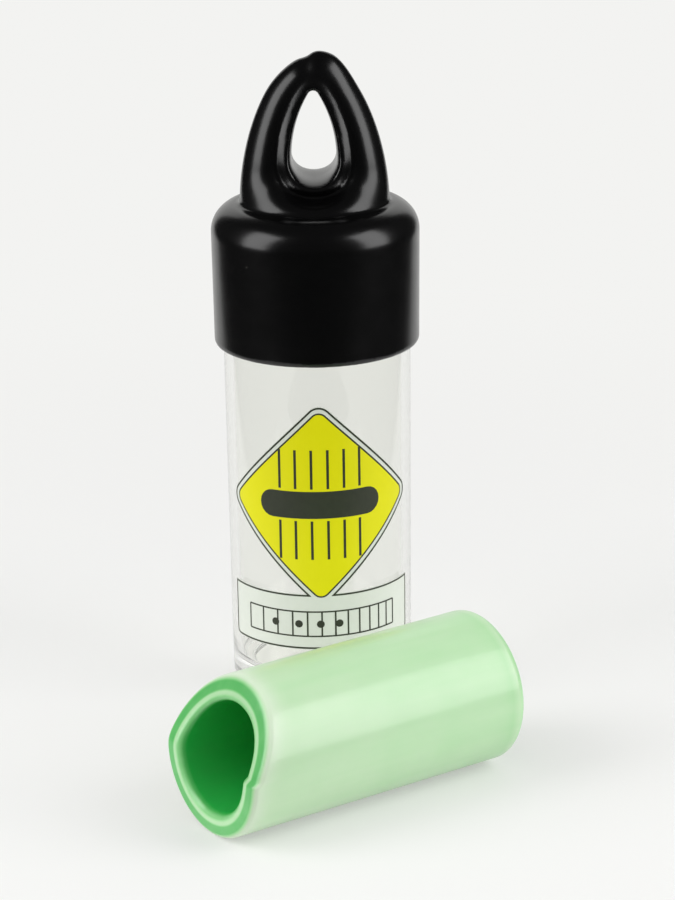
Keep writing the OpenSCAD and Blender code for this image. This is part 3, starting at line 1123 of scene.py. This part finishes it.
def stadium(wide, tall, middle):
    """A bar with round ends, lying down."""
    end = wide / 2 - tall / 2
    outline = arc((middle[0] + end, middle[1]), tall / 2, 90, -90, 10)
    return outline + arc((middle[0] - end, middle[1]), tall / 2, 270, 90, 10)


def row(wide, tall, count, start, pitch, height, ratio=1.0):
    """A flat sheet of repeated bars."""
    return run_tree(sheet_from(lambda flat: bar(flat, wide, tall), "bar"), ROW, Count=count,
                    Start=start, Pitch=pitch, Height=height, Ratio=ratio, Material=INK)


print("row tree has", len(ROW.nodes), "nodes")

# %% [markdown]
# ## The line print
# All dark lines are one ink, so they are gathered in one flat sheet and wrapped on together: the
# edge line of the label, the line round the yellow square, six strings with the bar that slides
# on them, and the fingerboard on the strip.

# %% Draw and wrap the lines
STRINGS = 6
STRING_PITCH = 3.1 * MM
STRING_TALL = 15.5 * MM
PICTURE_Z = SQUARE_Z + 0.2 * MM
NECK_Z = STRIP_LOW + 5.2 * MM
NECK_LONG = 31 * MM
NECK_TALL = 5 * MM
FRETS = 13
FRET_RATIO = 2 ** (-1 / 12)
FRET_THICK = 0.32 * MM
STRING_THICK = 0.5 * MM
STRING_GAP = 3.2 * MM      # from the bar's middle to where each string stops
BAR_LONG = 24 * MM
BAR_TALL = 5.4 * MM
DOT_R = 0.75 * MM
DOTS = (-9.2 * MM, -4.4 * MM, -0.2 * MM, 3.4 * MM)
EDGE_MARGIN = 0.12 * MM


def draw_lines(flat):
    """All lines that aren't in a row."""
    ring(flat, label_outline(EDGE_MARGIN), label_outline(EDGE_MARGIN + KEYLINE))
    ring(flat, square_outline(YELLOW_REACH + KEYLINE, YELLOW_ROUND + KEYLINE),
         square_outline(YELLOW_REACH - 0.1 * MM, YELLOW_ROUND))
    area(flat, stadium(BAR_LONG, BAR_TALL, (0, PICTURE_Z)))
    for z in (NECK_Z - NECK_TALL / 2, NECK_Z + NECK_TALL / 2):
        bar(flat, NECK_LONG, 0.3 * MM, (0, z))
    for spot in DOTS:
        area(flat, arc((spot, NECK_Z), DOT_R, 360, 15, 23))


def strings(side):
    """The strings above the bar or below it."""
    middle = PICTURE_Z + side * (STRING_TALL / 4 + STRING_GAP)
    first = -STRING_PITCH * (STRINGS - 1) / 2
    return row(STRING_THICK, STRING_TALL / 2, STRINGS, first, STRING_PITCH, middle)


def join_sheets(sheets, name):
    """Several flat sheets as one mesh."""
    joined = bmesh.new()
    for sheet in sheets:
        joined.from_mesh(sheet)
    mesh = bpy.data.meshes.new(name)
    joined.to_mesh(mesh)
    joined.free()
    return mesh


first_gap = NECK_LONG * (1 - FRET_RATIO) / (1 - FRET_RATIO ** (FRETS - 1))
frets = row(FRET_THICK, NECK_TALL, FRETS, -NECK_LONG / 2, first_gap, NECK_Z, FRET_RATIO)
line_sheet = join_sheets([sheet_from(draw_lines, "lines"), strings(1), strings(-1), frets], "lines")
line_mesh = wrapped(line_sheet, PRINT_LIFT + INK_THICK, INK_THICK, INK)
show("line_print", line_mesh, INK, "case", "printed_film")

# %% [markdown]
# ## Floor and light
# The set stands on a white sheet that bends up into a wall behind it, between two large, soft
# panels of light. The side towards the camera stays dark, and the sheet ends just in front of the
# set and a hand's breadth to each side of it. That is what gives the black cap its shape: its
# skirt mirrors the dark room, and only its edges mirror the sheet. What the camera sees of the
# floor is kept pale all the same, by letting part of it glow for the camera, for mirrored rays and
# for rays through the clear plastic. The rest is plain matt white, which takes the shadows.

# %% Make the sheet's material
SHEET_HALF = 0.13
SHEET_SPREAD = 0.5
SHEET_FRONT = 0.112
EDGE_FROM = -0.008         # the sheet fades into the dark room over these distances from its edge
EDGE_TO = 0.012
GLOW_FROM = 0.06           # the sheet glows least near the set, and fully further off
GLOW_TO = 0.3
GLOW_LEAST = 0.4
SET_MIDDLE = (0, -0.03, 0)
PALE = (0.895, 0.895, 0.88, 1)
ROOM_DARK = (0.03, 0.03, 0.03, 1)


def sweep_material():
    """A matt white sheet with some glow, which ends in a dark room for all but what the camera sees."""
    material, tree, shader = new_material("pale_sweep")
    shader.inputs["Base Color"].default_value = (0.84, 0.84, 0.83, 1)
    shader.inputs["Roughness"].default_value = 0.75
    shader.inputs["Specular IOR Level"].default_value = 0.2
    place = add(tree, "ShaderNodeTexCoord").outputs["Object"]
    away = add(tree, "ShaderNodeVectorMath", {0: place, 1: SET_MIDDLE}, operation="DISTANCE")
    share = add(tree, "ShaderNodeMapRange",
                {"Value": away.outputs["Value"], "From Min": GLOW_FROM, "From Max": GLOW_TO,
                 "To Min": GLOW_LEAST, "To Max": 1.0}, interpolation_type="SMOOTHSTEP").outputs[0]
    path = add(tree, "ShaderNodeLightPath").outputs
    seen = sum_up(tree, "MAXIMUM", path["Is Camera Ray"], path["Is Transmission Ray"])
    mirrored_too = sum_up(tree, "MAXIMUM", seen, path["Is Glossy Ray"])
    level = add(tree, "ShaderNodeMapRange",
                {"Value": share, "From Min": GLOW_LEAST, "To Min": 1.03, "To Max": 1.0})
    glow = add(tree, "ShaderNodeEmission", {"Color": PALE, "Strength": level.outputs[0]})
    sheet = add(tree, "ShaderNodeMixShader", {0: sum_up(tree, "MULTIPLY", share, mirrored_too),
                                              1: shader.outputs[0], 2: glow.outputs[0]})
    at = add(tree, "ShaderNodeSeparateXYZ", {0: place})
    widening = sum_up(tree, "MAXIMUM", sum_up(tree, "MULTIPLY", at.outputs["Y"], SHEET_SPREAD), 0.0)
    half_here = sum_up(tree, "ADD", widening, SHEET_HALF)
    past_side = sum_up(tree, "SUBTRACT", sum_up(tree, "ABSOLUTE", at.outputs["X"]), half_here)
    past_front = sum_up(tree, "SUBTRACT", sum_up(tree, "MULTIPLY", at.outputs["Y"], -1.0), SHEET_FRONT)
    past = add(tree, "ShaderNodeMapRange",
               {"Value": sum_up(tree, "MAXIMUM", past_side, past_front), "From Min": EDGE_FROM,
                "From Max": EDGE_TO}, interpolation_type="SMOOTHSTEP").outputs[0]
    dark = add(tree, "ShaderNodeEmission", {"Color": ROOM_DARK, "Strength": 1.0})
    unseen = sum_up(tree, "MULTIPLY", past, sum_up(tree, "SUBTRACT", 1.0, seen))
    mixed = add(tree, "ShaderNodeMixShader", {0: unseen, 1: sheet.outputs[0], 2: dark.outputs[0]})
    tree.links.new(mixed.outputs[0], tree.nodes["Material Output"].inputs["Surface"])
    return material


SHEET = sweep_material()
print("the sheet ends", SHEET_FRONT, "m in front of the case's middle")

# %% [markdown]
# The sheet's own shape is a long floor that bends up into a wall, like paper hung behind a still life.

# %% Lay the floor
def sweep_mesh():
    """A floor that bends up into a wall behind the set."""
    bend = 0.3
    reach = 1.3
    front = -1.4
    tall = 1.3
    half = 1.7
    profile = [(front, 0.0), (-0.2, 0.0), (0.2, 0.0)]
    profile += [(reach + bend * math.sin(a), bend - bend * math.cos(a))
                for a in np.linspace(0, math.pi / 2, 16)]
    profile.append((reach + bend, tall))
    points = [(x, y, z) for y, z in profile for x in (-half, half)]
    faces = [(2 * i, 2 * i + 1, 2 * i + 3, 2 * i + 2) for i in range(len(profile) - 1)]
    mesh = bpy.data.meshes.new("sweep")
    mesh.from_pydata(points, [], faces)
    smooth(mesh)
    return mesh


floor = bpy.data.objects.new("sweep", sweep_mesh())
floor.data.materials.append(SHEET)
bpy.context.scene.collection.objects.link(floor)
print("floor made of", len(floor.data.polygons), "faces")

# %% [markdown]
# One tall panel of light stands to each side of the set and a little in front of it, so that every
# round black piece carries a highlight near both of its edges. The room's fill light is dim for mirrored
# rays, which keeps the black black.

# %% Set the lamps
LAMP_AZIMUTH = 72          # degrees to each side of the line from the set to the camera
LAMP_HEIGHT = 26           # degrees above the floor
LAMP_FAR = 0.6
LAMP_WIDE = 0.34
LAMP_TALL = 0.6
LAMP_LEVEL = 3.5           # how bright a lamp's face looks, where white is 1
ROOM_FILL = 0.68
ROOM_MIRRORED = 0.05


def lamp(name, side):
    """A soft panel of light, aimed at the set."""
    data = bpy.data.lights.new(name, "AREA")
    data.shape = "RECTANGLE"
    data.size, data.size_y = LAMP_WIDE, LAMP_TALL
    data.energy = LAMP_LEVEL * math.pi * LAMP_WIDE * LAMP_TALL
    made = bpy.data.objects.new(name, data)
    turn, rise = math.radians(LAMP_AZIMUTH), math.radians(LAMP_HEIGHT)
    middle = Vector((0, -0.03, 0.05))
    level = Vector((side * math.sin(turn), -math.cos(turn), 0)) * math.cos(rise)
    reach = level + Vector((0, 0, math.sin(rise)))
    made.location = middle + LAMP_FAR * reach
    made.rotation_euler = (-reach).to_track_quat("-Z", "Y").to_euler()
    made.visible_camera = False
    bpy.context.scene.collection.objects.link(made)
    return made


lamp("lamp_left", -1)
lamp("lamp_right", 1)

world = bpy.data.worlds.new("room")
bpy.context.scene.world = world
world.use_nodes = True
room = world.node_tree.nodes["Background"]
room.inputs["Color"].default_value = (1, 1, 1, 1)
path = add(world.node_tree, "ShaderNodeLightPath").outputs
seen = sum_up(world.node_tree, "MAXIMUM", path["Is Camera Ray"], path["Is Transmission Ray"])
unseen = vary(world.node_tree, ROOM_FILL, ROOM_MIRRORED, path["Is Glossy Ray"])
backdrop = sum_up(world.node_tree, "MULTIPLY", seen, PALE[0])
strength = sum_up(world.node_tree, "MAXIMUM", unseen, backdrop)
world.node_tree.links.new(strength, room.inputs["Strength"])
print("lamps at", LAMP_FAR, "m")

# %% [markdown]
# The camera stands in front and looks down on the set through a long lens.

# %% Set the camera
CAMERA_PLACE = (0.0, -641.3 * MM, 258.8 * MM)
CAMERA_DOWN = math.radians(18.45)
CAMERA_YAW = math.radians(0.32)
CAMERA_ROLL = math.radians(-0.87)
CAMERA_LENS = 140.0


def camera_axes():
    """The camera's right, up and backward directions."""
    forward = Vector((math.sin(CAMERA_YAW) * math.cos(CAMERA_DOWN),
                      math.cos(CAMERA_YAW) * math.cos(CAMERA_DOWN), -math.sin(CAMERA_DOWN)))
    level = Vector((math.cos(CAMERA_YAW), -math.sin(CAMERA_YAW), 0))
    upright = level.cross(forward)
    right = math.cos(CAMERA_ROLL) * level + math.sin(CAMERA_ROLL) * upright
    up = math.cos(CAMERA_ROLL) * upright - math.sin(CAMERA_ROLL) * level
    return right, up, -forward


lens = bpy.data.cameras.new("camera")
lens.lens = CAMERA_LENS
lens.sensor_width = 36
lens.sensor_fit = "AUTO"
lens.clip_start = 0.01
lens.clip_end = 20
camera = bpy.data.objects.new("camera", lens)
turned = Matrix(camera_axes()).transposed().to_4x4()
turned.translation = CAMERA_PLACE
camera.matrix_world = turned
bpy.context.scene.collection.objects.link(camera)
bpy.context.scene.camera = camera
bpy.context.scene.view_settings.view_transform = "Standard"
print("lens", CAMERA_LENS, "mm")
